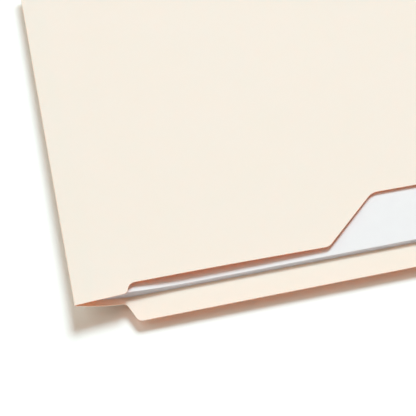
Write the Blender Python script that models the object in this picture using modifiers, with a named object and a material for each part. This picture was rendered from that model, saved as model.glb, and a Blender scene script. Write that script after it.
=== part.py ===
"""Flat manila file jacket, closed on three sides, lying on its back with loose sheets in its pocket.

X runs along the mouth, -Y points out of the mouth, +Y to the bottom fold and Z up.
The origin is at the middle of the jacket's outline, on the surface that it lies on.
"""

import math

import bmesh
import bpy

# Jacket outline
JACKET_WIDTH = 0.29845
JACKET_DEPTH = 0.2413
CARD = 0.00028
TAB_DEPTH = 0.0091
TAB_SHOULDER = 0.0196
TAB_END_ANGLE = math.radians(70.5)
TAB_CORNER_RADIUS = 0.0026
TAB_FILLET_RADIUS = 0.0024
EAR_SETBACK = 0.0015
EAR_CORNER_RADIUS = 0.0025
UNDERCUT_DEPTH = 0.00635
UNDERCUT_INSET = 0.0205
UNDERCUT_ANGLE = math.radians(73)
UNDERCUT_FILLET_RADIUS = 0.0034
NOTCH_WIDTH = 0.0903
NOTCH_DEPTH = 0.0254
NOTCH_ANGLE = math.radians(42)
NOTCH_CORNER_RADIUS = 0.0045
NOTCH_FILLET_RADIUS = 0.0080

# Heights of the filled jacket, above the surface that it lies on
MOUTH_LIFT = 0.00358
SEAM_LIFT = 0.00506
BACK_CURL_LENGTH = 0.026
FRONT_DIP = 0.00065
FRONT_DIP_LENGTH = 0.025
FRONT_SAG = 0.0014
FRONT_SAG_START = 0.040
BELLY_SIDE_START = 0.026
BELLY_SIDE_LENGTH = 0.040
BELLY_MOUTH_START = 0.006
BELLY_MOUTH_LENGTH = 0.060
BELLY_FOLD_START = 0.024
BELLY_FOLD_LENGTH = 0.040
CLOSING_LENGTH = 0.0105

# Side seams and bottom fold
GLUE = 0.00008
PLY_CLEARANCE = 0.00003
SEAM_INNER_GAP = 0.00010
FOLD_INNER_RADIUS = 0.00035
BUTT_CLEARANCE = 0.00006
FLAP_WIDTH = 0.0180
FLAP_TAPER = 0.0060
FLAP_FOLD_CLEARANCE = 0.0020
GLUE_INSET = 0.0025

# Loose sheets
DOCUMENT_COUNT = 8
DOCUMENT_THICKNESS = 0.00019
TOP_SHEET_THICKNESS = 0.00010
SHEET_CLEARANCE = 0.00005
SHEET_SIDE_MARGIN = 0.009525
SHEET_FRONT_MARGIN = 0.0030
SHEET_FOLD_MARGIN = 0.0133
SHEET_CURL = 0.0023
SHEET_CURL_LENGTH = 0.0355
SHEET_CURL_POWER = 1.8

# How close points weld, and how close to a slice they count as on it
WELD_DISTANCE = 0.000001
SLICE_TOLERANCE = 0.0000005

# Steps along each curved stretch
CURL_STEPS = 7
BELLY_STEPS = 5
CLOSING_STEPS = 5
ARC_STEPS = 6
FOLD_ARC_STEPS = 8

# Finishes: base colour and roughness
MANILA = ((0.90, 0.79, 0.64), 0.75)
PAPER = ((0.88, 0.88, 0.88), 0.80)
DRIED_GLUE = ((0.80, 0.74, 0.58), 0.45)

# Places that follow from the sizes above
HALF_WIDTH = JACKET_WIDTH / 2
TAB_EDGE_Y = -JACKET_DEPTH / 2
SHOULDER_Y = TAB_EDGE_Y + TAB_DEPTH
FOLD_Y = JACKET_DEPTH / 2
POCKET_DEPTH = FOLD_Y - SHOULDER_Y
GLUE_GAP = GLUE + 2 * PLY_CLEARANCE
SEAM_RADIUS = (3 * CARD + SEAM_INNER_GAP + GLUE_GAP) / 2
SEAM_INNER_RADIUS = SEAM_RADIUS - CARD
SEAM_HEIGHT = MOUTH_LIFT + SEAM_LIFT + CARD + SEAM_INNER_GAP - SEAM_INNER_RADIUS
FOLD_RADIUS = FOLD_INNER_RADIUS + CARD
PANEL_SIDE_INSET = SEAM_RADIUS + BUTT_CLEARANCE
PANEL_FOLD_INSET = FOLD_RADIUS + BUTT_CLEARANCE
SHEET_WIDTH = JACKET_WIDTH - 2 * SHEET_SIDE_MARGIN
SHEET_LENGTH = POCKET_DEPTH - SHEET_FRONT_MARGIN - SHEET_FOLD_MARGIN
SHEET_BASE = MOUTH_LIFT + CARD + SHEET_CLEARANCE


def smoothstep(value):
    """Ease from 0 to 1 as the value goes from 0 to 1, level at both ends."""
    value = min(max(value, 0.0), 1.0)
    return value * value * (3 - 2 * value)


def front_section(side):
    """Height of the front panel's inner face at a distance from the side crease."""
    dip = FRONT_DIP * smoothstep(side / FRONT_DIP_LENGTH)
    sag = FRONT_SAG * smoothstep((side - FRONT_SAG_START) / (HALF_WIDTH - FRONT_SAG_START))
    return SEAM_HEIGHT + SEAM_INNER_RADIUS - dip - sag


def back_section(side):
    """Height of the back panel's outer face at a distance from the side crease."""
    curl = max(1 - side / BACK_CURL_LENGTH, 0.0) ** 2
    return MOUTH_LIFT + SEAM_LIFT * curl


def belly(side, y):
    """How far the back panel sinks from the height of its edges to the surface it lies on."""
    across = smoothstep((side - BELLY_SIDE_START) / BELLY_SIDE_LENGTH)
    from_mouth = smoothstep((y - SHOULDER_Y - BELLY_MOUTH_START) / BELLY_MOUTH_LENGTH)
    from_fold = smoothstep((FOLD_Y - y - BELLY_FOLD_START) / BELLY_FOLD_LENGTH)
    return MOUTH_LIFT * across * from_mouth * from_fold


def closing(side, y):
    """Middle height of the pocket and its half gap, which closes towards the bottom fold."""
    front = front_section(side)
    back = back_section(side) + CARD
    half_gap = (front - back) / 2
    least = min(half_gap, FOLD_INNER_RADIUS)
    away = min(max((FOLD_Y - y) / CLOSING_LENGTH, 0.0), 1.0)
    opened = 1 - (1 - away) ** 2
    return (front + back) / 2, least + (half_gap - least) * opened


def front_inner(x, y):
    """Height of the front panel's inner face."""
    middle, half_gap = closing(HALF_WIDTH - abs(x), y)
    return middle + half_gap


def back_outer(x, y):
    """Height of the back panel's outer face."""
    side = HALF_WIDTH - abs(x)
    middle, half_gap = closing(side, y)
    return middle - half_gap - CARD - belly(side, y)


def under_back(x, y):
    """Height of a ply's upper face where it is glued under the back panel."""
    return back_outer(x, y) - GLUE_GAP


def glue_under_back(x, y):
    """Height of a glue film's upper face under the back panel."""
    return back_outer(x, y) - PLY_CLEARANCE


def sheet_curl(x, _y):
    """Height that a sheet's sides bend up, as the pocket holds them."""
    inner = HALF_WIDTH - SHEET_SIDE_MARGIN - SHEET_CURL_LENGTH
    reach = max(abs(x) - inner, 0.0) / SHEET_CURL_LENGTH
    return SHEET_CURL * reach ** SHEET_CURL_POWER


def fold_middle(x, _y):
    """Height of the bottom fold's centre line."""
    return closing(HALF_WIDTH - abs(x), FOLD_Y)[0]


def steps(start, length, count):
    """Even steps along a stretch, with both of its ends."""
    return [start + length * index / count for index in range(count + 1)]


def both_sides(distances):
    """Places along X at distances in from both side creases."""
    places = []
    for distance in distances:
        places += [HALF_WIDTH - distance, distance - HALF_WIDTH]
    return places


def arc(centre, radius, start, end, count):
    """Points on a round arc, between two angles."""
    points = []
    for index in range(count + 1):
        angle = start + (end - start) * index / count
        points.append((centre[0] + radius * math.cos(angle), centre[1] + radius * math.sin(angle)))
    return points


def rounded(corners):
    """Points of an open or closed chain whose inner corners (x, y, radius) become arcs."""
    points = []
    for index, (x, y, radius) in enumerate(corners):
        if radius == 0:
            points.append((x, y))
            continue
        before = corners[index - 1]
        after = corners[(index + 1) % len(corners)]
        incoming = math.atan2(y - before[1], x - before[0])
        outgoing = math.atan2(after[1] - y, after[0] - x)
        turn = math.remainder(outgoing - incoming, 2 * math.pi)
        reach = radius * math.tan(abs(turn) / 2)
        side = math.copysign(math.pi / 2, turn)
        centre_x = x - reach * math.cos(incoming) + radius * math.cos(incoming + side)
        centre_y = y - reach * math.sin(incoming) + radius * math.sin(incoming + side)
        first = incoming - side
        points += arc((centre_x, centre_y), radius, first, first + turn, ARC_STEPS)
    return points


def mirrored(half):
    """A closed outline from the points of its left half, listed from the top middle to the bottom middle."""
    return half + [(-x, y) for x, y in reversed(half) if x != 0]


def make_material(name, finish):
    """A plain material of one colour and roughness."""
    colour, roughness = finish
    material = bpy.data.materials.new(name)
    material.use_nodes = True
    shader = material.node_tree.nodes["Principled BSDF"]
    shader.inputs["Base Color"].default_value = (*colour, 1.0)
    shader.inputs["Roughness"].default_value = roughness
    shader.inputs["Metallic"].default_value = 0.0
    return material


def filled_outline(name, points, half_depth=0.0):
    """A mesh of a filled flat outline, made from a 2D curve, with its doubles welded."""
    curve = bpy.data.curves.new(name, "CURVE")
    curve.dimensions = "2D"
    curve.fill_mode = "BOTH"
    curve.extrude = half_depth
    spline = curve.splines.new("POLY")
    spline.points.add(len(points) - 1)
    for point, (x, y) in zip(spline.points, points):
        point.co = (x, y, 0.0, 1.0)
    spline.use_cyclic_u = True
    guide = bpy.data.objects.new(name, curve)
    bpy.context.scene.collection.objects.link(guide)
    graph = bpy.context.evaluated_depsgraph_get()
    mesh = bpy.data.meshes.new_from_object(guide.evaluated_get(graph))
    bpy.data.objects.remove(guide)
    bpy.data.curves.remove(curve)
    mesh.name = name
    shape = bmesh.new()
    shape.from_mesh(mesh)
    bmesh.ops.remove_doubles(shape, verts=shape.verts, dist=WELD_DISTANCE)
    shape.to_mesh(mesh)
    shape.free()
    return mesh


def slice_mesh(shape, places, axis):
    """Cut a mesh along planes across an axis, so that it can bend there."""
    normal = [0.0, 0.0, 0.0]
    normal[axis] = 1.0
    for place in places:
        point = [0.0, 0.0, 0.0]
        point[axis] = place
        geometry = shape.verts[:] + shape.edges[:] + shape.faces[:]
        bmesh.ops.bisect_plane(shape, geom=geometry, dist=SLICE_TOLERANCE, plane_co=point, plane_no=normal)


def add_piece(name, mesh, finish, location=(0.0, 0.0, 0.0)):
    """Put a mesh into the jacket's collection as a named piece under the jacket's empty."""
    piece = bpy.data.objects.new(name, mesh)
    piece.location = location
    piece.parent = bpy.data.objects["jacket_origin"]
    mesh.materials.clear()
    mesh.materials.append(make_material(name + "_finish", finish))
    bpy.data.collections["file_jacket"].objects.link(piece)
    return piece


def add_sheet(name, outline, height, cuts, thickness, upwards, finish, location=(0.0, 0.0, 0.0)):
    """A thin sheet: a flat outline, sliced, bent to a height function and given its thickness."""
    mesh = filled_outline(name, outline)
    shape = bmesh.new()
    shape.from_mesh(mesh)
    bmesh.ops.dissolve_faces(shape, faces=shape.faces[:])
    slice_mesh(shape, cuts[0], 0)
    slice_mesh(shape, cuts[1], 1)
    for face in shape.faces:
        if face.normal.z < 0:
            face.normal_flip()
    for vertex in shape.verts:
        vertex.co.z = height(vertex.co.x, vertex.co.y)
        vertex.co.y -= location[1]
    shape.to_mesh(mesh)
    shape.free()
    piece = add_piece(name, mesh, finish, location)
    solidify = piece.modifiers.new("thickness", "SOLIDIFY")
    solidify.thickness = thickness
    solidify.offset = 1.0 if upwards else -1.0
    solidify.use_even_offset = True
    return piece


def half_ring(outer, inner, facing):
    """Outline of half a ring whose open side faces away from the given angle."""
    first = facing - math.pi / 2
    last = facing + math.pi / 2
    centre = (0.0, 0.0)
    outside = arc(centre, outer, first, last, FOLD_ARC_STEPS)
    inside = arc(centre, inner, last, first, FOLD_ARC_STEPS)
    return outside + inside


def front_cuts():
    """Places where the front panel is sliced, along X and along Y."""
    side = steps(0.0, FRONT_DIP_LENGTH, CURL_STEPS)[1:]
    side += steps(FRONT_SAG_START, HALF_WIDTH - FRONT_SAG_START, CURL_STEPS)
    return both_sides(side), fold_cuts()


def fold_cuts():
    """Places along Y where the panels close towards the bottom fold."""
    return [FOLD_Y - place for place in steps(0.0, CLOSING_LENGTH, CLOSING_STEPS)[1:]]


def belly_cuts():
    """Places along Y where the back panel sinks between the mouth and the bottom fold."""
    from_mouth = steps(SHOULDER_Y + BELLY_MOUTH_START, BELLY_MOUTH_LENGTH, BELLY_STEPS)
    from_fold = steps(FOLD_Y - BELLY_FOLD_START, -BELLY_FOLD_LENGTH, BELLY_STEPS)
    return from_mouth + from_fold


def glue_line():
    """Distances of a seam's glue line from the side, at both of its edges."""
    return PANEL_SIDE_INSET + GLUE_INSET, FLAP_WIDTH - GLUE_INSET


def back_cuts():
    """Places where the back panel and the flaps under it are sliced, along X and along Y."""
    side = steps(0.0, BACK_CURL_LENGTH, CURL_STEPS)[1:]
    side += steps(BELLY_SIDE_START, BELLY_SIDE_LENGTH, BELLY_STEPS)
    side += [*glue_line(), FLAP_WIDTH]
    return both_sides(side), fold_cuts() + belly_cuts()


def front_panel():
    """Front panel: undercut along the mouth between its corners, with a thumb notch in the middle."""
    left = PANEL_SIDE_INSET - HALF_WIDTH
    top = FOLD_Y - PANEL_FOLD_INSET
    ear_y = SHOULDER_Y + EAR_SETBACK
    undercut_y = SHOULDER_Y + UNDERCUT_DEPTH
    step_foot = UNDERCUT_INSET - HALF_WIDTH
    step_head = step_foot + (undercut_y - ear_y) / math.tan(UNDERCUT_ANGLE)
    notch_mouth = -NOTCH_WIDTH / 2
    notch_floor = notch_mouth + NOTCH_DEPTH / math.tan(NOTCH_ANGLE)
    corners = [
        (0.0, top, 0.0),
        (left, top, 0.0),
        (left, SHOULDER_Y, 0.0),
        (step_foot, ear_y, EAR_CORNER_RADIUS),
        (step_head, undercut_y, UNDERCUT_FILLET_RADIUS),
        (notch_mouth, undercut_y, NOTCH_CORNER_RADIUS),
        (notch_floor, undercut_y + NOTCH_DEPTH, NOTCH_FILLET_RADIUS),
        (0.0, undercut_y + NOTCH_DEPTH, 0.0),
    ]
    outline = mirrored(rounded(corners))
    add_sheet("front_panel", outline, front_inner, front_cuts(), CARD, True, MANILA)


def back_panel():
    """Back panel: its tab stands out past the shoulders of the mouth."""
    left = PANEL_SIDE_INSET - HALF_WIDTH
    top = FOLD_Y - PANEL_FOLD_INSET
    tab_foot = TAB_SHOULDER - HALF_WIDTH
    tab_tip = tab_foot + TAB_DEPTH / math.tan(TAB_END_ANGLE)
    corners = [
        (0.0, top, 0.0),
        (left, top, 0.0),
        (left, SHOULDER_Y, 0.0),
        (tab_foot, SHOULDER_Y, TAB_FILLET_RADIUS),
        (tab_tip, TAB_EDGE_Y, TAB_CORNER_RADIUS),
        (0.0, TAB_EDGE_Y, 0.0),
    ]
    outline = mirrored(rounded(corners))
    add_sheet("back_panel", outline, back_outer, back_cuts(), CARD, True, MANILA)


def side_seams():
    """Side creases, the flaps that turn under the back panel, and their glue lines."""
    for side, name in ((-1, "left"), (1, "right")):
        seam_crease(side, name + "_side_fold")
        inner = PANEL_SIDE_INSET
        length = POCKET_DEPTH - FLAP_FOLD_CLEARANCE
        flap_strip(side, name + "_seam_flap", (inner, FLAP_WIDTH), (0.0, length), under_back, CARD, MANILA)
        reach = (GLUE_INSET, POCKET_DEPTH - CLOSING_LENGTH)
        flap_strip(side, name + "_seam_glue", glue_line(), reach, glue_under_back, GLUE, DRIED_GLUE)


def seam_crease(side, name):
    """Rounded crease between the front panel and a flap, along one side."""
    facing = 0.0 if side > 0 else math.pi
    outline = half_ring(SEAM_RADIUS, SEAM_INNER_RADIUS, facing)
    mesh = filled_outline(name, outline, POCKET_DEPTH / 2)
    piece = add_piece(name, mesh, MANILA)
    piece.location = (side * (HALF_WIDTH - SEAM_RADIUS), (SHOULDER_Y + FOLD_Y) / 2, SEAM_HEIGHT)
    piece.rotation_euler = (math.pi / 2, 0.0, 0.0)


def flap_strip(side, name, across, along, height, thickness, finish):
    """A tapered strip beside a side crease, under the back panel."""
    near = side * (HALF_WIDTH - across[0])
    far = side * (HALF_WIDTH - across[1])
    outline = [
        (near, SHOULDER_Y + along[0]),
        (near, SHOULDER_Y + along[1]),
        (far, SHOULDER_Y + along[1] - FLAP_TAPER),
        (far, SHOULDER_Y + along[0] + FLAP_TAPER),
    ]
    add_sheet(name, outline, height, back_cuts(), thickness, False, finish)


def bottom_fold():
    """Rounded crease between the front and back panels, along the bottom."""
    name = "bottom_fold"
    length = JACKET_WIDTH - 2 * PANEL_SIDE_INSET
    mesh = filled_outline(name, half_ring(FOLD_RADIUS, FOLD_INNER_RADIUS, 0.0), length / 2)
    shape = bmesh.new()
    shape.from_mesh(mesh)
    for vertex in shape.verts:
        out, up, along = vertex.co
        vertex.co = (along, FOLD_Y - FOLD_RADIUS + out, up)
    slice_mesh(shape, front_cuts()[0], 0)
    for vertex in shape.verts:
        vertex.co.z += fold_middle(vertex.co.x, vertex.co.y)
    bmesh.ops.recalc_face_normals(shape, faces=shape.faces)
    shape.to_mesh(mesh)
    shape.free()
    add_piece(name, mesh, MANILA)


def loose_sheets():
    """Stack of documents with a single sheet on top, free to slide out of the mouth."""
    pitch = DOCUMENT_THICKNESS + SHEET_CLEARANCE
    for index in range(DOCUMENT_COUNT):
        loose_sheet(f"document_{index + 1}", SHEET_BASE + pitch * index, DOCUMENT_THICKNESS)
    loose_sheet("top_sheet", SHEET_BASE + pitch * DOCUMENT_COUNT, TOP_SHEET_THICKNESS)


def loose_sheet(name, base, thickness):
    """A sheet, or a document of a few sheets, with its origin in the middle of its front edge."""
    front = SHOULDER_Y + SHEET_FRONT_MARGIN
    half = SHEET_WIDTH / 2
    outline = [(-half, front), (half, front), (half, front + SHEET_LENGTH), (-half, front + SHEET_LENGTH)]
    places = both_sides(steps(SHEET_SIDE_MARGIN, SHEET_CURL_LENGTH, CURL_STEPS)[1:])
    add_sheet(name, outline, sheet_curl, (places, []), thickness, True, PAPER, (0.0, front, base))


def clear_scene():
    """Remove whatever the scene holds and make the jacket's collection and its origin."""
    for thing in list(bpy.data.objects):
        bpy.data.objects.remove(thing)
    for group in list(bpy.data.collections):
        bpy.data.collections.remove(group)
    group = bpy.data.collections.new("file_jacket")
    bpy.context.scene.collection.children.link(group)
    group.objects.link(bpy.data.objects.new("jacket_origin", None))


def main():
    """Build every piece of the jacket and the sheets in it."""
    clear_scene()
    front_panel()
    back_panel()
    bottom_fold()
    side_seams()
    loose_sheets()


main()
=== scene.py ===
"""Looks of a flat manila file jacket, closed on three sides, with loose white sheets in its pocket.

X runs along the mouth, -Y points out of the mouth, +Y to the bottom fold and Z up, in metres, as in the
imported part. Every surface is a grid of points from a formula, given its thickness as a closed shell.
"""

import logging
import math
from dataclasses import dataclass, field
from enum import Enum
from typing import Any

import bpy
import numpy as np
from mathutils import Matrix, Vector
from numpy.typing import NDArray


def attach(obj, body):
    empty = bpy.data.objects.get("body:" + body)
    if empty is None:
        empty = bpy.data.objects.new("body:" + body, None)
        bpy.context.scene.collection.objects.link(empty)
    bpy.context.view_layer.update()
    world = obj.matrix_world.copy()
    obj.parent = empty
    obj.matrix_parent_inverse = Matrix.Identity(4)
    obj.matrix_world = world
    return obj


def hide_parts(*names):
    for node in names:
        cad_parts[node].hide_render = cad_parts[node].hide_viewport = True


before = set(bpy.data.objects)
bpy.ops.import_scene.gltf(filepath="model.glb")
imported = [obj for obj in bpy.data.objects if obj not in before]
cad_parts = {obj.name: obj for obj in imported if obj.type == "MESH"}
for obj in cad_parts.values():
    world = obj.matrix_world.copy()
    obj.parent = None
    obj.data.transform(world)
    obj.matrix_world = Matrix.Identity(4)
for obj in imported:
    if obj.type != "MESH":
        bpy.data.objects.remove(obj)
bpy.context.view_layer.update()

LOG = logging.getLogger("file_jacket")
Floats = NDArray[np.float64]
Corner = tuple[float, float, float]
JACKET_BODY = "jacket"
COLUMN_GRAIN = 5  # decimals of a metre to which the columns of a grid are rounded
COLUMN_PITCH = 0.0015  # distance of the even columns of a card panel
CRISP_ANGLE = math.radians(40)  # edges that turn by more than this stay crisp
JOG_SEED = 11
MM_PER_METRE = 1000.0
WHITE = "#FFFFFF"


class Slot(Enum):
    """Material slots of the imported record."""

    CARD = "manila_card"
    PAPER = "white_paper"
    GLUE = "dried_glue"


class Side(Enum):
    """The two side seams, with the sign of X on which each lies."""

    LEFT = -1
    RIGHT = 1

    @property
    def word(self) -> str:
        """The side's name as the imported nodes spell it."""
        return self.name.lower()


def linear(hex_colour: str) -> tuple[float, float, float, float]:
    """Turn an sRGB hex colour into a linear one, by the curve of the sRGB standard.

    Args:
        hex_colour: Six hex digits, with or without a leading hash sign.

    Returns:
        Linear red, green, blue and an alpha of 1.
    """
    digits = hex_colour.lstrip("#")
    srgb = np.array([int(digits[place:place + 2], 16) for place in (0, 2, 4)]) / 255
    low = srgb / 12.92
    high = ((srgb + 0.055) / 1.055) ** 2.4
    red, green, blue = np.where(srgb <= 0.04045, low, high)
    return float(red), float(green), float(blue), 1.0


def per_metre(millimetres: float) -> float:
    """Texture scale at which one feature of the pattern is that many millimetres wide."""
    return MM_PER_METRE / millimetres


def add_node(
    tree: bpy.types.NodeTree,
    kind: str,
    settings: dict[str | int, Any] | None = None,
    links: dict[str | int, bpy.types.NodeSocket] | None = None,
) -> bpy.types.Node:
    """Add a node, set its values and link its inputs.

    Args:
        tree: Node tree that takes the node.
        kind: Blender's identifier of the node.
        settings: Input names or numbers with their values, and the node's own properties.
        links: Input names or numbers with the sockets that feed them.

    Returns:
        The new node.
    """
    node = tree.nodes.new(kind)
    for key, value in (settings or {}).items():
        if isinstance(key, str) and hasattr(node, key):
            setattr(node, key, value)
        else:
            node.inputs[key].default_value = value
    for key, socket in (links or {}).items():
        tree.links.new(socket, node.inputs[key])
    return node


def new_material(name: str) -> tuple[bpy.types.Material, bpy.types.NodeTree, bpy.types.Node]:
    """Make an empty node material.

    Args:
        name: Name of the real material and how its surface was made.

    Returns:
        The material, its node tree and its output node.
    """
    material = bpy.data.materials.new(name)
    material.use_nodes = True
    tree = material.node_tree
    tree.nodes.clear()
    return material, tree, add_node(tree, "ShaderNodeOutputMaterial")


def let_through(
    tree: bpy.types.NodeTree, face: bpy.types.Node, share: float, colour: str,
) -> bpy.types.NodeSocket:
    """Let a share of the light come through a thin sheet and spread behind it.

    Args:
        tree: Node tree of the material.
        face: Shader of the sheet's face.
        share: Share of the light that goes through instead.
        colour: Colour that the light takes on its way.

    Returns:
        The mixed shader's output.
    """
    glow = add_node(tree, "ShaderNodeBsdfTranslucent", {"Color": linear(colour)})
    mix = add_node(tree, "ShaderNodeMixShader", {0: share}, {1: face.outputs[0], 2: glow.outputs[0]})
    return mix.outputs[0]


@dataclass(frozen=True)
class ManilaCard:
    """Calendered manila card: buff pulp with fine fibres, matt, and warm where light comes through it."""

    name: str = "manila_card_calendered"
    light: str = "#FEFEF3"
    deep: str = "#FDFCED"
    cloud_mm: float = 16.0
    cloud_detail: float = 3.0
    cloud_roughness: float = 0.55
    fibre_mm: tuple[float, float] = (3.2, 0.7)  # drawn coarser than the real fibres, so that they show
    fibre_detail: float = 4.0
    fibre_roughness: float = 0.6
    fibre_height: float = 0.00001
    fibre_share: float = 0.35
    roughness: float = 0.72
    ior: float = 1.47
    specular: float = 0.35
    through: float = 0.28
    through_colour: str = "#FFAC66"

    def build(self) -> bpy.types.Material:
        """Cloudy formation and streaks of fibre in the colour, with the same fibres raised a little.

        Returns:
            The finished material.
        """
        material, tree, output = new_material(self.name)
        place = add_node(tree, "ShaderNodeTexCoord").outputs["Object"]
        cloud_scale = per_metre(self.cloud_mm)
        cloud = add_node(
            tree, "ShaderNodeTexNoise",
            {"Scale": cloud_scale, "Detail": self.cloud_detail, "Roughness": self.cloud_roughness},
            {"Vector": place},
        )
        along, across = self.fibre_mm
        stretched = add_node(
            tree, "ShaderNodeMapping",
            {"Scale": (per_metre(along), per_metre(across), per_metre(across))}, {"Vector": place},
        )
        fibre = add_node(
            tree, "ShaderNodeTexNoise",
            {"Scale": 1.0, "Detail": self.fibre_detail, "Roughness": self.fibre_roughness},
            {"Vector": stretched.outputs["Vector"]},
        )
        blend = add_node(
            tree, "ShaderNodeMix", {"data_type": "FLOAT", 0: self.fibre_share},
            {2: cloud.outputs["Fac"], 3: fibre.outputs["Fac"]},
        )
        tone = add_node(
            tree, "ShaderNodeMix",
            {"data_type": "RGBA", 6: linear(self.deep), 7: linear(self.light)}, {0: blend.outputs[0]},
        )
        raised = add_node(
            tree, "ShaderNodeBump", {"Strength": 1.0, "Distance": self.fibre_height},
            {"Height": fibre.outputs["Fac"]},
        )
        face = add_node(
            tree, "ShaderNodeBsdfPrincipled",
            {"Roughness": self.roughness, "IOR": self.ior, "Specular IOR Level": self.specular},
            {"Base Color": tone.outputs[2], "Normal": raised.outputs["Normal"]},
        )
        card = let_through(tree, face, self.through, self.through_colour)
        tree.links.new(card, output.inputs["Surface"])
        return material


@dataclass(frozen=True)
class BondPaper:
    """White bond paper, uncoated: even, matt, with a faint cloudy formation."""

    name: str = "white_bond_paper_uncoated"
    light: str = "#EFE8E7"
    deep: str = "#EBE3E3"
    cloud_mm: float = 6.0
    cloud_detail: float = 3.0
    tooth_mm: float = 0.5  # drawn coarser than the real tooth, so that it shows
    tooth_detail: float = 2.0
    tooth_height: float = 0.000006
    roughness: float = 0.8
    ior: float = 1.5
    specular: float = 0.3
    through: float = 0.04
    through_colour: str = WHITE

    def build(self) -> bpy.types.Material:
        """Cloudy formation in the colour, with a fine tooth in the relief.

        Returns:
            The finished material.
        """
        material, tree, output = new_material(self.name)
        place = add_node(tree, "ShaderNodeTexCoord").outputs["Object"]
        cloud = add_node(
            tree, "ShaderNodeTexNoise",
            {"Scale": per_metre(self.cloud_mm), "Detail": self.cloud_detail}, {"Vector": place},
        )
        tooth = add_node(
            tree, "ShaderNodeTexNoise",
            {"Scale": per_metre(self.tooth_mm), "Detail": self.tooth_detail}, {"Vector": place},
        )
        tone = add_node(
            tree, "ShaderNodeMix",
            {"data_type": "RGBA", 6: linear(self.deep), 7: linear(self.light)}, {0: cloud.outputs["Fac"]},
        )
        raised = add_node(
            tree, "ShaderNodeBump", {"Strength": 1.0, "Distance": self.tooth_height},
            {"Height": tooth.outputs["Fac"]},
        )
        face = add_node(
            tree, "ShaderNodeBsdfPrincipled",
            {"Roughness": self.roughness, "IOR": self.ior, "Specular IOR Level": self.specular},
            {"Base Color": tone.outputs[2], "Normal": raised.outputs["Normal"]},
        )
        sheet = let_through(tree, face, self.through, self.through_colour)
        tree.links.new(sheet, output.inputs["Surface"])
        return material


@dataclass(frozen=True)
class DriedGlue:
    """Dried paste, rolled on: an ivory film, smoother than the card, with faint roller streaks."""

    name: str = "paste_rolled_and_dried"
    light: str = "#E6DABB"
    deep: str = "#D8C8A0"
    streak_mm: tuple[float, float] = (9.0, 1.2)
    streak_detail: float = 3.0
    streak_height: float = 0.00001
    roughness: float = 0.45
    ior: float = 1.48

    def build(self) -> bpy.types.Material:
        """Streaks along Y in the colour and the relief.

        Returns:
            The finished material.
        """
        material, tree, output = new_material(self.name)
        place = add_node(tree, "ShaderNodeTexCoord").outputs["Object"]
        along, across = self.streak_mm
        stretched = add_node(
            tree, "ShaderNodeMapping",
            {"Scale": (per_metre(across), per_metre(along), per_metre(across))}, {"Vector": place},
        )
        streak = add_node(
            tree, "ShaderNodeTexNoise", {"Scale": 1.0, "Detail": self.streak_detail},
            {"Vector": stretched.outputs["Vector"]},
        )
        tone = add_node(
            tree, "ShaderNodeMix",
            {"data_type": "RGBA", 6: linear(self.deep), 7: linear(self.light)}, {0: streak.outputs["Fac"]},
        )
        raised = add_node(
            tree, "ShaderNodeBump", {"Strength": 1.0, "Distance": self.streak_height},
            {"Height": streak.outputs["Fac"]},
        )
        shader = add_node(
            tree, "ShaderNodeBsdfPrincipled", {"Roughness": self.roughness, "IOR": self.ior},
            {"Base Color": tone.outputs[2], "Normal": raised.outputs["Normal"]},
        )
        tree.links.new(shader.outputs["BSDF"], output.inputs["Surface"])
        return material


@dataclass(frozen=True)
class Finishes:
    """The finished materials of the part."""

    card: bpy.types.Material
    card_inside: bpy.types.Material
    cut_edge: bpy.types.Material
    paper: bpy.types.Material
    paper_edge: bpy.types.Material
    glue: bpy.types.Material

    @classmethod
    def mixed(cls) -> "Finishes":
        """Make every material: the card's inside lets more light on, the card's cut edges are rougher, and
        the sheets' cut edges are painted lighter and cooler than the paper, as painted light on them.

        Returns:
            The set of finishes.
        """
        return cls(
            card=ManilaCard().build(),
            card_inside=ManilaCard(name="manila_card_inside", roughness=0.8, through=0.46).build(),
            cut_edge=ManilaCard(name="manila_card_die_cut_edge", fibre_share=0.8, roughness=0.9).build(),
            paper=BondPaper().build(),
            # painted light: the sheets' cut edges get a lighter, cooler colour than the paper's faces,
            # standing in for light that falls on them
            paper_edge=BondPaper("white_bond_paper_sides_painted_lighter", "#F3F8FF", "#ECF1FA").build(),
            glue=DriedGlue().build(),
        )


@dataclass(frozen=True)
class Shell:
    """A closed thin sheet between two grids of points.

    Columns run so that the outer grid faces out where columns cross rows. The rim joins the two grids round
    their edge, with a middle line that stands out by the bulge of a die-cut edge.
    """

    outer: Floats
    inner: Floats
    bulge: float = 0.0

    def arrays(self) -> tuple[Floats, NDArray[np.int64], NDArray[np.int64]]:
        """Work out the shell's points and faces as whole arrays.

        Returns:
            Points (n, 3), quads (m, 4), and for each quad a 0 if it is outer, 1 if inner and 2 on the rim.
        """
        rows, columns, _ = self.outer.shape
        count = rows * columns
        index = np.arange(count).reshape(rows, columns)
        corners = (index[:-1, :-1], index[:-1, 1:], index[1:, 1:], index[1:, :-1])
        face = np.stack(corners, axis=-1).reshape(-1, 4)
        loop = np.concatenate((index[0, :-1], index[:-1, -1], index[-1, :0:-1], index[:0:-1, 0]))
        outer = self.outer.reshape(-1, 3)
        inner = self.inner.reshape(-1, 3)
        middle = (outer[loop] + inner[loop]) / 2
        run = np.roll(middle, -1, axis=0) - np.roll(middle, 1, axis=0)
        out = np.cross(run, outer[loop] - inner[loop])
        out /= np.linalg.norm(out, axis=1, keepdims=True)
        middle = middle + self.bulge * out
        after = np.roll(loop, -1)
        belt = 2 * count + np.arange(len(loop))
        belt_after = np.roll(belt, -1)
        upper = np.stack((after, loop, belt, belt_after), axis=-1)
        lower = np.stack((belt_after, belt, loop + count, after + count), axis=-1)
        quads = np.concatenate((face, face[:, ::-1] + count, upper, lower))
        part = np.repeat((0, 1, 2), (len(face), len(face), 2 * len(loop)))
        return np.concatenate((outer, inner, middle)), quads, part


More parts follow.
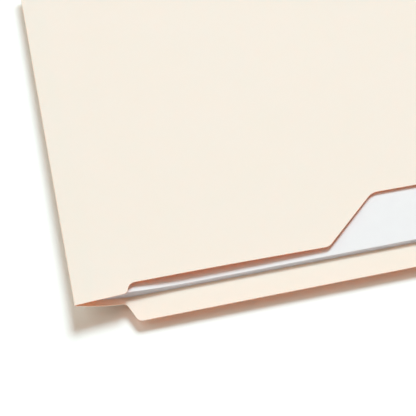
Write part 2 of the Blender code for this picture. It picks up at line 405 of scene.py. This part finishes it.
def add_shells(
    name: str,
    shells: list[Shell],
    outer: bpy.types.Material,
    inner: bpy.types.Material,
    rim: bpy.types.Material,
) -> bpy.types.Object:
    """Put shells into one mesh object at the origin, smooth with crisp cut edges.

    Args:
        name: Name of the piece.
        shells: The closed sheets that make it up.
        outer: Material of their outer faces.
        inner: Material of their inner faces.
        rim: Material of their cut edges.

    Returns:
        The new object, linked into the scene.
    """
    parts = [shell.arrays() for shell in shells]
    starts = np.cumsum([0] + [len(points) for points, _, _ in parts[:-1]])
    points = np.concatenate([part[0] for part in parts])
    quads = np.concatenate([part[1] + start for part, start in zip(parts, starts)])
    finish = np.concatenate([part[2] for part in parts])
    mesh = bpy.data.meshes.new(name)
    mesh.vertices.add(len(points))
    mesh.vertices.foreach_set("co", points.ravel())
    mesh.loops.add(quads.size)
    mesh.loops.foreach_set("vertex_index", quads.ravel())
    mesh.polygons.add(len(quads))
    mesh.polygons.foreach_set("loop_start", np.arange(0, quads.size, 4))
    for material in (outer, inner, rim):
        mesh.materials.append(material)
    mesh.polygons.foreach_set("material_index", finish)
    mesh.update(calc_edges=True)
    mesh.validate()
    mesh.shade_smooth()
    mesh.set_sharp_from_angle(angle=CRISP_ANGLE)
    piece = bpy.data.objects.new(name, mesh)
    bpy.context.scene.collection.objects.link(piece)
    return piece


def settle(piece: bpy.types.Object, body: str, node: str) -> None:
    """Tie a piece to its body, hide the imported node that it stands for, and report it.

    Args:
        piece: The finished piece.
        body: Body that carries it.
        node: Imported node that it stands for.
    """
    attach(piece, body)
    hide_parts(node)
    LOG.info("%s: %d faces on %s", piece.name, len(piece.data.polygons), body)


def smoothstep(value: Floats) -> Floats:
    """Ease from 0 to 1 as the value goes from 0 to 1, level at both ends."""
    value = np.clip(value, 0.0, 1.0)
    return value * value * (3 - 2 * value)


def rounded(corners: list[Corner], steps: int = 12) -> Floats:
    """Points of an open chain whose corners become round arcs.

    Each corner with a radius is replaced by the arc that touches both of its sides, which starts at the
    radius times the tangent of half the turn before the corner.

    Args:
        corners: X, Y and radius of each corner.
        steps: Steps along each arc.

    Returns:
        Points (n, 2) in order.
    """
    chain = []
    for index, (x, y, radius) in enumerate(corners):
        if radius == 0:
            chain.append(np.array([[x, y]]))
            continue
        incoming = math.atan2(y - corners[index - 1][1], x - corners[index - 1][0])
        outgoing = math.atan2(corners[index + 1][1] - y, corners[index + 1][0] - x)
        turn = math.remainder(outgoing - incoming, 2 * math.pi)
        reach = radius * math.tan(abs(turn) / 2)
        side = math.copysign(math.pi / 2, turn)
        centre_x = x - reach * math.cos(incoming) + radius * math.cos(incoming + side)
        centre_y = y - reach * math.sin(incoming) + radius * math.sin(incoming + side)
        angle = incoming - side + turn * np.linspace(0, 1, steps + 1)
        arc = (centre_x + radius * np.cos(angle), centre_y + radius * np.sin(angle))
        chain.append(np.stack(arc, axis=-1))
    return np.concatenate(chain)


@dataclass(frozen=True)
class PocketForm:
    """Sizes of the jacket and the heights of its two panels, filled and lying on its back."""

    width: float = 0.29845
    depth: float = 0.2413
    card: float = 0.00028
    tab_depth: float = 0.0091
    mouth_lift: float = 0.00358
    seam_lift: float = 0.00506
    back_curl: float = 0.026
    front_dip: float = 0.00065
    front_dip_length: float = 0.025
    front_sag: float = 0.0014
    front_sag_start: float = 0.040
    belly_side: tuple[float, float] = (0.026, 0.040)
    belly_mouth: tuple[float, float] = (0.006, 0.060)
    belly_fold: tuple[float, float] = (0.024, 0.040)
    closing_length: float = 0.0099
    glue: float = 0.00008
    ply_clearance: float = 0.00003
    seam_gap: float = 0.0001
    fold_inner_radius: float = 0.00035
    flap_width: float = 0.0180
    flap_taper: float = 0.0060
    edge_bulge: float = 0.00002

    @property
    def half_width(self) -> float:
        """Distance of each side crease from the middle."""
        return self.width / 2

    @property
    def tab_edge(self) -> float:
        """Y of the tab's free edge."""
        return -self.depth / 2

    @property
    def shoulder(self) -> float:
        """Y of the mouth's corners, where the tab begins."""
        return self.tab_edge + self.tab_depth

    @property
    def fold(self) -> float:
        """Y of the outside of the bottom fold."""
        return self.depth / 2

    @property
    def fold_radius(self) -> float:
        """Outer radius of the bottom fold."""
        return self.fold_inner_radius + self.card

    @property
    def glue_gap(self) -> float:
        """Distance between two glued plies."""
        return self.glue + 2 * self.ply_clearance

    @property
    def seam_radius(self) -> float:
        """Outer radius of a side crease, which wraps the back panel and a flap."""
        return (3 * self.card + self.seam_gap + self.glue_gap) / 2

    @property
    def seam_height(self) -> float:
        """Height of a side crease's centre line."""
        return self.mouth_lift + self.seam_lift + self.card + self.seam_gap - self.seam_radius + self.card

    def side(self, x: Floats) -> Floats:
        """Distance from the nearer side crease."""
        return self.half_width - np.abs(x)

    def front_section(self, x: Floats) -> Floats:
        """Front panel's inner face across the mouth: it dips beside the crease, then sags to the middle."""
        side = self.side(x)
        dip = self.front_dip * smoothstep(side / self.front_dip_length)
        sag_length = self.half_width - self.front_sag_start
        sag = self.front_sag * smoothstep((side - self.front_sag_start) / sag_length)
        return self.seam_height + self.seam_radius - self.card - dip - sag

    def back_section(self, x: Floats) -> Floats:
        """Back panel's outer face across the mouth: level, curling up to the crease as a parabola."""
        return self.mouth_lift + self.seam_lift * np.maximum(1 - self.side(x) / self.back_curl, 0.0) ** 2

    def closing(self, x: Floats, y: Floats) -> tuple[Floats, Floats]:
        """Middle height of the pocket and its half gap, which closes as a parabola towards the bottom fold.

        Args:
            x: Places along the mouth.
            y: Places from mouth to fold.

        Returns:
            The middle height and the half gap at each place.
        """
        front = self.front_section(x)
        back = self.back_section(x) + self.card
        half_gap = (front - back) / 2
        least = np.minimum(half_gap, self.fold_inner_radius)
        away = np.clip((self.fold - self.fold_radius - y) / self.closing_length, 0.0, 1.0)
        return (front + back) / 2, least + (half_gap - least) * (1 - (1 - away) ** 2)

    def belly(self, x: Floats, y: Floats) -> Floats:
        """How far the back panel sinks from the height of its edges to the surface that it lies on."""
        across = smoothstep((self.side(x) - self.belly_side[0]) / self.belly_side[1])
        from_mouth = smoothstep((y - self.shoulder - self.belly_mouth[0]) / self.belly_mouth[1])
        from_fold = smoothstep((self.fold - y - self.belly_fold[0]) / self.belly_fold[1])
        return self.mouth_lift * across * from_mouth * from_fold

    def front_inner(self, x: Floats, y: Floats) -> Floats:
        """Height of the front panel's inner face."""
        middle, half_gap = self.closing(x, y)
        return middle + half_gap

    def back_outer(self, x: Floats, y: Floats) -> Floats:
        """Height of the back panel's outer face."""
        middle, half_gap = self.closing(x, y)
        return middle - half_gap - self.card - self.belly(x, y)


def spread(edge: Floats, fold: float, columns: Floats, rows: Floats) -> tuple[Floats, Floats]:
    """Fill the room between a shaped edge and a straight fold with a grid.

    Every column runs straight along Y, from the edge's height at its X to the fold, with the given shares.

    Args:
        edge: Points (n, 2) of the edge, in order of X.
        fold: Y at which every column ends.
        columns: X of the columns.
        rows: Shares from 0 at the edge to 1 at the fold.

    Returns:
        X and Y of the grid, with rows first.
    """
    start = np.interp(columns, edge[:, 0], edge[:, 1])
    y = start[None, :] + (fold - start)[None, :] * rows[:, None]
    x = np.broadcast_to(columns, y.shape)
    return x, y


def mirrored(half: Floats) -> Floats:
    """An edge from the left end to the right end, from the points of its left half up to the middle."""
    other = half[::-1] * (-1, 1)
    return np.concatenate((half, other[1:] if half[-1, 0] == 0 else other))


def panel_rows(start: float, end: float, closing_length: float, counts: tuple[int, int]) -> Floats:
    """Shares of a panel's length for its rows, which lie closer where the pocket closes.

    Args:
        start: Y at which the panel's length is taken to begin.
        end: Y at which it ends.
        closing_length: Length of the closing part before that end.
        counts: Rows on the open part and on the closing part, which share one row.

    Returns:
        Shares from 0 to 1.
    """
    closing = 1 - closing_length / (end - start)
    open_rows, closing_rows = counts
    return np.concatenate((np.linspace(0, closing, open_rows), np.linspace(closing, 1, closing_rows)[1:]))


def edge_columns(edge: Floats) -> Floats:
    """Columns at every point of an edge and at an even pitch between its ends."""
    even = np.arange(edge[0, 0], edge[-1, 0], COLUMN_PITCH)
    inside = (even > edge[0, 0]) & (even < edge[-1, 0])
    return np.unique(np.round(np.concatenate((edge[:, 0], even[inside])), COLUMN_GRAIN))


def grid_points(x: Floats, y: Floats, z: Floats) -> Floats:
    """One array of points from the three coordinates of a grid."""
    return np.stack(np.broadcast_arrays(x, y, z), axis=-1).astype(float)


@dataclass
class FrontSheet:
    """Front panel with its undercut and thumb notch, its creases, and the flaps that turn under the back."""

    form: PocketForm
    finishes: Finishes
    ear_setback: float = 0.0015
    ear_corner_radius: float = 0.0025
    undercut_depth: float = 0.00635
    undercut_inset: float = 0.0205
    undercut_angle: float = math.radians(73)
    undercut_radius: float = 0.0034
    notch_width: float = 0.0903
    notch_depth: float = 0.0254
    notch_angle: float = math.radians(42)
    notch_corner_radius: float = 0.0045
    notch_floor_radius: float = 0.0080
    flap_clearance: float = 0.0020
    row_counts: tuple[int, int] = (60, 13)
    fold_steps: int = 16
    crease_rows: int = 40
    flap_columns: int = 25
    flap_rows: int = 80

    def build(self) -> None:
        """Build every piece of the front sheet."""
        self.panel()
        self.bottom_fold()
        for side in Side:
            self.side_fold(side)
            self.flap(side)

    def mouth_edge(self) -> Floats:
        """The panel's mouth edge: slanted corner, step to the undercut, rounded slant and floor of the notch.

        Returns:
            Points (n, 2) from the left crease to the right one.
        """
        form = self.form
        ear = form.shoulder + self.ear_setback
        undercut = form.shoulder + self.undercut_depth
        step = self.undercut_inset - form.half_width
        notch = -self.notch_width / 2
        corners = [
            (form.seam_radius - form.half_width, form.shoulder, 0.0),
            (step, ear, self.ear_corner_radius),
            (step + (undercut - ear) / math.tan(self.undercut_angle), undercut, self.undercut_radius),
            (notch, undercut, self.notch_corner_radius),
            (notch + self.notch_depth / math.tan(self.notch_angle), undercut + self.notch_depth,
             self.notch_floor_radius),
            (0.0, undercut + self.notch_depth, 0.0),
        ]
        return mirrored(rounded(corners))

    def panel(self) -> None:
        """The panel: the mouth edge spread to the bottom fold, at the height of the pocket's front."""
        form = self.form
        edge = self.mouth_edge()
        end = form.fold - form.fold_radius
        rows = panel_rows(form.shoulder, end, form.closing_length, self.row_counts)
        x, y = spread(edge, end, edge_columns(edge), rows)
        height = form.front_inner(x, y)
        shell = Shell(grid_points(x, y, height + form.card), grid_points(x, y, height), form.edge_bulge)
        self.add("front_panel", shell, self.finishes.card_inside)

    def bottom_fold(self) -> None:
        """The fold: half a ring, flattened where the pocket is flat, carried along X."""
        form = self.form
        columns = edge_columns(self.mouth_edge())[None, :]
        turn = np.linspace(math.pi / 2, -math.pi / 2, self.fold_steps + 1)[:, None]
        end = np.full_like(columns, form.fold - form.fold_radius)
        middle, half_gap = form.closing(columns, end)
        out, up = np.cos(turn), np.sin(turn)
        outer = grid_points(columns, end + form.fold_radius * out, middle + (half_gap + form.card) * up)
        inner = grid_points(columns, end + form.fold_inner_radius * out, middle + half_gap * up)
        self.add("bottom_fold", Shell(outer, inner), self.finishes.card)

    def side_fold(self, side: Side) -> None:
        """A side crease: half a ring carried along Y.

        Args:
            side: Which of the two seams.
        """
        form = self.form
        turn = np.linspace(math.pi / 2, -math.pi / 2, self.fold_steps + 1)[None, ::side.value]
        y = np.linspace(form.shoulder, form.fold - form.fold_radius, self.crease_rows)[:, None]
        centre = form.half_width - form.seam_radius
        out, up = np.cos(turn), np.sin(turn)
        outer, inner = (
            grid_points(side.value * (centre + radius * out), y, form.seam_height + radius * up)
            for radius in (form.seam_radius, form.seam_radius - form.card)
        )
        self.add(f"{side.word}_side_fold", Shell(outer, inner, form.edge_bulge), self.finishes.card)

    def flap(self, side: Side) -> None:
        """A tapered flap, glued under the back panel along a side crease.

        Args:
            side: Which of the two seams.
        """
        form = self.form
        share = np.linspace(0, 1, self.flap_columns)[None, ::-side.value]
        inset = form.seam_radius + (form.flap_width - form.seam_radius) * share
        x = side.value * (form.half_width - inset)
        start = form.shoulder + form.flap_taper * share
        end = form.fold - self.flap_clearance - form.flap_taper * share
        y = start + (end - start) * np.linspace(0, 1, self.flap_rows)[:, None]
        upper = form.back_outer(x, y) - form.glue_gap
        shell = Shell(grid_points(x, y, upper), grid_points(x, y, upper - form.card), form.edge_bulge)
        self.add(f"{side.word}_seam_flap", shell, self.finishes.card)

    def add(self, node: str, shell: Shell, inside: bpy.types.Material) -> None:
        """Add one shell of card and settle it on the jacket in place of its node.

        Args:
            node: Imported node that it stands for.
            shell: The closed sheet of card.
            inside: Material of the shell's inner face.
        """
        finishes = self.finishes
        piece = add_shells(f"{node}_card", [shell], finishes.card, inside, finishes.cut_edge)
        settle(piece, JACKET_BODY, node)


@dataclass
class BackSheet:
    """Back panel with the tab that stands out past the mouth, and the glue lines under its sides."""

    form: PocketForm
    finishes: Finishes
    tab_shoulder: float = 0.0196
    tab_angle: float = math.radians(70.5)
    tab_corner_radius: float = 0.0026
    tab_fillet_radius: float = 0.0024
    glue_inset: float = 0.0025
    row_counts: tuple[int, int] = (80, 13)
    glue_columns: int = 17
    glue_rows: int = 60

    def build(self) -> None:
        """Build every piece of the back sheet."""
        self.panel()
        for side in Side:
            self.seam_glue(side)

    def panel(self) -> None:
        """The panel: shoulders and tab spread to the bottom fold, at the height of the pocket's back."""
        form = self.form
        foot = self.tab_shoulder - form.half_width
        tip = foot + form.tab_depth / math.tan(self.tab_angle)
        corners = [
            (form.seam_radius - form.half_width, form.shoulder, 0.0),
            (foot, form.shoulder, self.tab_fillet_radius),
            (tip, form.tab_edge, self.tab_corner_radius),
            (0.0, form.tab_edge, 0.0),
        ]
        edge = mirrored(rounded(corners))
        end = form.fold - form.fold_radius
        rows = panel_rows(form.tab_edge, end, form.closing_length, self.row_counts)
        x, y = spread(edge, end, edge_columns(edge), rows)
        height = form.back_outer(x, y)
        shell = Shell(grid_points(x, y, height + form.card), grid_points(x, y, height), form.edge_bulge)
        card = self.finishes.card
        piece = add_shells("back_panel_card", [shell], card, card, self.finishes.cut_edge)
        settle(piece, JACKET_BODY, "back_panel")

    def seam_glue(self, side: Side) -> None:
        """The glue line of a seam, between its flap and the back panel.

        Args:
            side: Which of the two seams.
        """
        form = self.form
        share = np.linspace(0, 1, self.glue_columns)[None, ::-side.value]
        near = form.seam_radius + self.glue_inset
        x = side.value * (form.half_width - near - (form.flap_width - self.glue_inset - near) * share)
        start = form.shoulder + self.glue_inset + form.flap_taper * share
        end = form.fold - form.closing_length - form.flap_taper * share
        y = start + (end - start) * np.linspace(0, 1, self.glue_rows)[:, None]
        upper = form.back_outer(x, y) - form.ply_clearance
        film = Shell(grid_points(x, y, upper), grid_points(x, y, upper - form.glue))
        glue = self.finishes.glue
        piece = add_shells(f"{side.word}_seam_glue_film", [film], glue, glue, glue)
        settle(piece, JACKET_BODY, f"{side.word}_seam_glue")


@dataclass
class PaperStack:
    """Loose letter sheets, each document two of them, lying in the pocket with their sides bent up."""

    form: PocketForm
    finishes: Finishes
    documents: int = 8
    sheets: int = 2
    document_thickness: float = 0.00019
    top_thickness: float = 0.0001
    clearance: float = 0.00005
    sheet_gap: float = 0.000012
    side_margin: float = 0.009525
    front_margin: float = 0.0030
    length: float = 0.2159
    curl: float = 0.0023
    curl_length: float = 0.0355
    curl_power: float = 1.8
    jog: tuple[float, float] = (0.0006, 0.0001)
    bend_columns: int = 25
    level_columns: int = 13
    rows: int = 9
    chance: np.random.Generator = field(default_factory=lambda: np.random.default_rng(JOG_SEED))

    @property
    def sheets_under_top(self) -> int:
        """Number of sheets under the top one."""
        return self.documents * self.sheets

    def build(self) -> None:
        """Build every document, from the lowest up, and the single sheet on top."""
        base = self.form.mouth_lift + self.form.card + self.clearance
        pitch = self.document_thickness + self.clearance
        for index in range(self.documents):
            under = index * self.sheets
            self.document(f"document_{index + 1}", base + index * pitch, pitch, under, self.sheets)
        top_base = base + self.documents * pitch
        self.document("top_sheet", top_base, self.top_thickness + self.sheet_gap, self.sheets_under_top, 1)

    def document(self, node: str, base: float, room: float, under: int, sheets: int) -> None:
        """A document of a few sheets, knocked up not quite square, with a little air over each sheet.

        Args:
            node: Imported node, which is also the body.
            base: Height of its lowest face.
            room: Height of the room that it takes up.
            under: Number of sheets in the stack under it.
            sheets: Number of sheets in it.
        """
        pitch = room / sheets
        shells = [
            self.sheet(base + pitch * index, pitch - self.sheet_gap, (under + index) / self.sheets_under_top)
            for index in range(sheets)
        ]
        paper = self.finishes.paper
        piece = add_shells(f"{node}_paper", shells, paper, paper, self.finishes.paper_edge)
        settle(piece, node, node)

    def sheet(self, base: float, thickness: float, share: float) -> Shell:
        """One sheet: level, with its sides bent up between the back panel's curl and the top sheet's own.

        The top sheet's wider curl is a power of the distance past its level middle. The lowest sheet lies
        along the panel, and the sheets between the two fan out evenly.

        Args:
            base: Height of its lower face in the middle.
            thickness: Thickness of the paper.
            share: Its place in the stack, from 0 for the lowest sheet to 1 for the top one.

        Returns:
            The sheet's closed shell.
        """
        form = self.form
        half = form.half_width - self.side_margin
        level = half - self.curl_length
        bend = level + self.curl_length * np.linspace(0, 1, self.bend_columns)
        middle = np.linspace(-level, level, self.level_columns)[1:-1]
        slide = self.chance.uniform(-1, 1, 2) * self.jog
        x = np.concatenate((-bend[::-1], middle, bend))[None, :] + slide[0]
        front = form.shoulder + self.front_margin + slide[1]
        y = front + self.length * np.linspace(0, 1, self.rows)[:, None]
        wide = self.curl * np.maximum((np.abs(x) - level) / self.curl_length, 0.0) ** self.curl_power
        panel = form.back_section(x) - form.mouth_lift
        lower = grid_points(x, y, base + panel + share * (wide - panel))
        return Shell(lower + (0.0, 0.0, thickness), lower)


@dataclass(frozen=True)
class SoftLamp:
    """A large far lamp, whose share of the light on a level surface sets its strength."""

    name: str
    share: float
    colour: str
    run: tuple[float, float, float]
    angle: float

    def build(self) -> None:
        """Add the lamp, turned so that its light runs along its direction."""
        run = Vector(self.run).normalized()
        light = bpy.data.lights.new(self.name, "SUN")
        light.energy = self.share * math.pi / -run.z
        light.color = linear(self.colour)[:3]
        light.angle = self.angle
        lamp = bpy.data.objects.new(self.name, light)
        lamp.rotation_euler = run.to_track_quat("-Z", "Y").to_euler()
        bpy.context.scene.collection.objects.link(lamp)


@dataclass
class Studio:
    """White floor, even light, a soft key from behind on the right, a fill from the left, and the camera.

    A faint low lamp in front reaches the cut edges of the sheets. The key is cool, which sets off the warm
    light that comes through the card.
    """

    ambient: float = 0.32
    ambient_colour: str = "#FFD7B2"
    key_share: float = 0.8
    key_colour: str = "#D9F4FF"
    key_run: tuple[float, float, float] = (-0.36, -0.77, -1.0)
    key_angle: float = math.radians(26)
    fill_share: float = 0.20
    fill_colour: str = "#EDFFFF"
    fill_run: tuple[float, float, float] = (0.95, -0.30, -1.0)
    fill_angle: float = math.radians(60)
    front_share: float = 0.018
    front_colour: str = "#DDEFFF"
    front_run: tuple[float, float, float] = (0.10, 0.95, -0.10)
    front_angle: float = math.radians(30)
    floor_colour: str = "#FCF7F3"
    floor_half: float = 3.0
    floor_drop: float = 0.00004
    lens: float = 74.92
    clip_start: float = 0.01
    camera_place: tuple[float, float, float] = (-0.148415, -0.319070, 0.269850)
    camera_target: tuple[float, float, float] = (-0.085819, -0.065351, 0.000151)

    def build(self) -> None:
        """Set up the view, the world, the lamps, the floor and the camera."""
        bpy.context.scene.view_settings.view_transform = "Standard"
        self.world()
        SoftLamp("soft_key", self.key_share, self.key_colour, self.key_run, self.key_angle).build()
        SoftLamp("left_fill", self.fill_share, self.fill_colour, self.fill_run, self.fill_angle).build()
        SoftLamp("low_front", self.front_share, self.front_colour, self.front_run, self.front_angle).build()
        self.floor()
        self.camera()

    def world(self) -> None:
        """Even light all round, which the camera and mirrors see as plain white."""
        world = bpy.data.worlds.new("studio_white")
        world.use_nodes = True
        tree = world.node_tree
        tree.nodes.clear()
        output = add_node(tree, "ShaderNodeOutputWorld")
        path = add_node(tree, "ShaderNodeLightPath").outputs
        seen = add_node(
            tree, "ShaderNodeMath", {"operation": "MAXIMUM"},
            {0: path["Is Camera Ray"], 1: path["Is Glossy Ray"]},
        )
        seen = add_node(
            tree, "ShaderNodeMath", {"operation": "MAXIMUM"},
            {0: seen.outputs[0], 1: path["Is Transmission Ray"]},
        )
        even = add_node(tree, "ShaderNodeBackground", {"Strength": self.ambient})
        even.inputs["Color"].default_value = linear(self.ambient_colour)
        white = add_node(tree, "ShaderNodeBackground", {"Strength": 1.0})
        white.inputs["Color"].default_value = linear(WHITE)
        mix = add_node(
            tree, "ShaderNodeMixShader", None, {0: seen.outputs[0], 1: even.outputs[0], 2: white.outputs[0]},
        )
        tree.links.new(mix.outputs[0], output.inputs["Surface"])
        bpy.context.scene.world = world

    def floor(self) -> None:
        """A white floor that shows the object's shadow."""
        material, tree, output = new_material("floor_paper_white")
        shader = add_node(tree, "ShaderNodeBsdfDiffuse", {"Color": linear(self.floor_colour)})
        tree.links.new(shader.outputs[0], output.inputs["Surface"])
        reach = np.array([-self.floor_half, self.floor_half])
        x, y = np.meshgrid(reach, reach)
        points = grid_points(x, y, np.full_like(x, -self.floor_drop)).reshape(-1, 3)
        mesh = bpy.data.meshes.new("floor")
        mesh.from_pydata(points.tolist(), [], [(0, 1, 3, 2)])
        mesh.materials.append(material)
        floor = bpy.data.objects.new("floor", mesh)
        bpy.context.scene.collection.objects.link(floor)

    def camera(self) -> None:
        """The camera, at the photograph's place and angle."""
        camera = bpy.data.cameras.new("camera")
        camera.lens = self.lens
        camera.clip_start = self.clip_start
        eye = bpy.data.objects.new("camera", camera)
        eye.location = self.camera_place
        gaze = Vector(self.camera_target) - Vector(self.camera_place)
        eye.rotation_euler = gaze.to_track_quat("-Z", "Y").to_euler()
        bpy.context.scene.collection.objects.link(eye)
        bpy.context.scene.camera = eye


def main() -> None:
    """Build the studio, the jacket and its sheets in order."""
    logging.basicConfig(level=logging.INFO, format="%(name)s: %(message)s")
    Studio().build()
    form = PocketForm()
    finishes = Finishes.mixed()
    FrontSheet(form, finishes).build()
    BackSheet(form, finishes).build()
    PaperStack(form, finishes).build()


if __name__ == "__main__":
    main()
